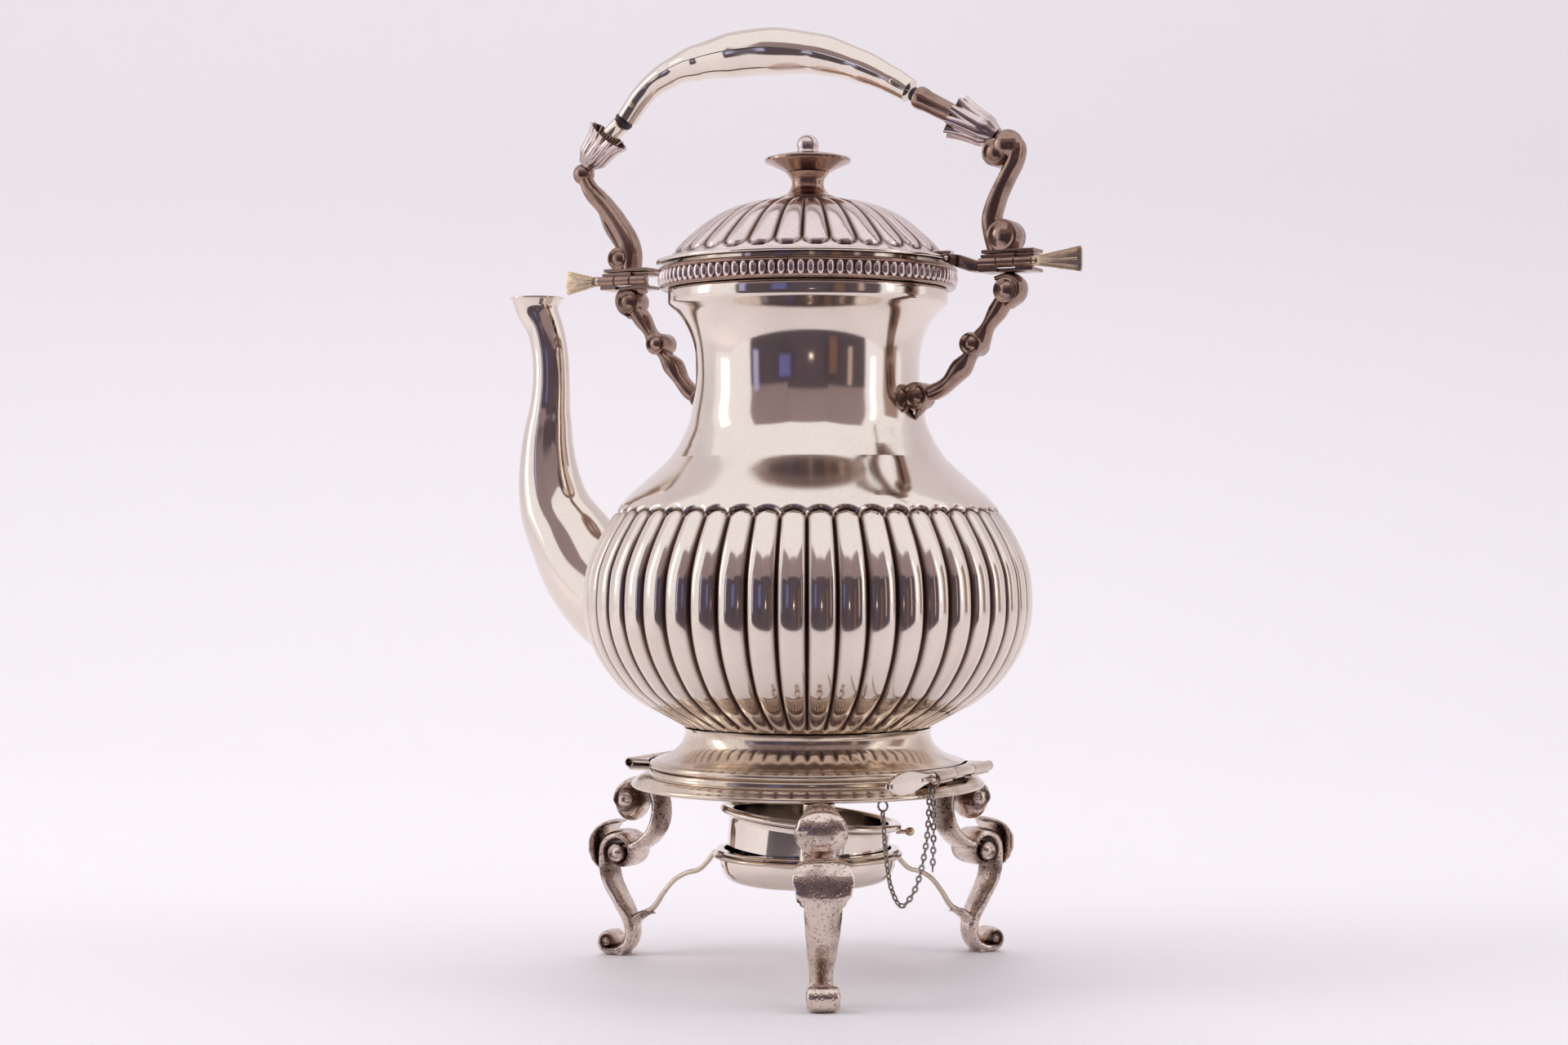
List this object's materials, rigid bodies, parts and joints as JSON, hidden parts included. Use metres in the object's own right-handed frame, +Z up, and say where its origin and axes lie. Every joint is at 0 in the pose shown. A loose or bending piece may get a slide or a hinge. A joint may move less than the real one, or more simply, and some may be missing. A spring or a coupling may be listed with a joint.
{
  "type": "spirit kettle on stand",
  "caption": "Fluted silver kettle with swan-neck spout, hinged domed lid and folding bail handle, pinned to a three-legged stand with a spirit burner.",
  "frame": {"origin": "middle of the whole object's footprint, on the surface it stands on", "axes": "+Z up, -X towards the spout, +X towards the lid hinge and the release pin, -Y towards the side the handle folds down to"},
  "size_m": [0.252, 0.1746, 0.3704],
  "materials": {
    "silver": "polished, lightly tarnished",
    "toned_silver": "polished cast silver with brown tarnish",
    "brass": "brown-gold, worn",
    "insulator": "dark heat-break rings",
    "wick": "cotton wick"
  },
  "bodies": {
    "stand": {"stand_ring": "silver", "stand_leaf_spout": "silver", "stand_leaf_release": "silver", "leg_spout": "toned_silver", "leg_front": "toned_silver", "leg_rear": "toned_silver", "burner_wire_spout": "brass", "burner_wire_front": "brass", "burner_wire_rear": "brass", "burner_ring": "brass", "pivot_pin": "silver", "chain_eye": "silver", "chain_main": "silver"},
    "kettle": {"kettle_bowl": "silver", "kettle_neck": "silver", "kettle_rim_border": "silver", "kettle_foot": "silver", "spout": "silver", "bracket_spout": "toned_silver", "bracket_back": "toned_silver", "kettle_hinge_leaf_spout": "toned_silver", "kettle_hinge_leaf_back": "toned_silver", "foot_leaf_spout": "silver", "foot_leaf_release": "silver", "lid_hinge_arm": "toned_silver", "lid_hinge_pin": "silver"},
    "lid": {"lid_rim": "silver", "lid_dome": "silver", "lid_hinge_leaf": "silver", "finial_base": "silver", "finial_disc": "silver", "finial_button": "silver"},
    "handle": {"grip_upper": "silver", "grip_lower": "silver", "grip_rivet_spout": "brass", "grip_rivet_back": "brass", "arm_spout": "toned_silver", "arm_back": "toned_silver", "calyx_spout": "silver", "calyx_back": "silver", "ferrule_spout": "silver", "ferrule_back": "silver", "insulator_spout": "insulator", "insulator_back": "insulator", "handle_hinge_leaf_spout": "toned_silver", "handle_hinge_leaf_back": "toned_silver"},
    "hinge_pin_spout": {"handle_pin_spout": "brass"},
    "hinge_pin_back": {"handle_pin_back": "brass"},
    "locking_pin": {"release_pin": "silver", "release_pin_ring": "silver", "chain_tail": "silver"},
    "burner": {"burner_bowl": "silver", "burner_sleeve": "silver", "burner_plate": "silver", "wick_tube": "brass", "wick": "wick", "burner_knob": "brass"}
  },
  "joints": [
    {"name": "kettle_tilt", "type": "hinge", "parent": "stand", "child": "kettle", "pos_m": [-0.0561, 0, 0.0808], "axis": [0, -1, 0], "range_deg": [0, 60]},
    {"name": "lid_open", "type": "hinge", "parent": "kettle", "child": "lid", "pos_m": [0.0709, 0, 0.2758], "axis": [0, 1, 0], "range_deg": [0, 19]},
    {"name": "handle_fold", "type": "hinge", "parent": "kettle", "child": "handle", "pos_m": [0.0095, -0.0065, 0.273], "axis": [1, 0, 0], "range_deg": [0, 100]},
    {"name": "handle_pin_back_pull", "type": "slide", "parent": "kettle", "child": "hinge_pin_back", "axis": [1, 0, 0], "range_m": [0, 0.024]},
    {"name": "handle_pin_spout_pull", "type": "slide", "parent": "kettle", "child": "hinge_pin_spout", "axis": [-1, 0, 0], "range_m": [0, 0.022]},
    {"name": "release_pin_pull", "type": "slide", "parent": "stand", "child": "locking_pin", "axis": [0, -1, 0], "range_m": [0, 0.056]},
    {"name": "burner_lift", "type": "slide", "parent": "stand", "child": "burner", "axis": [0, 0, 1], "range_m": [0, 0.02]}
  ]
}
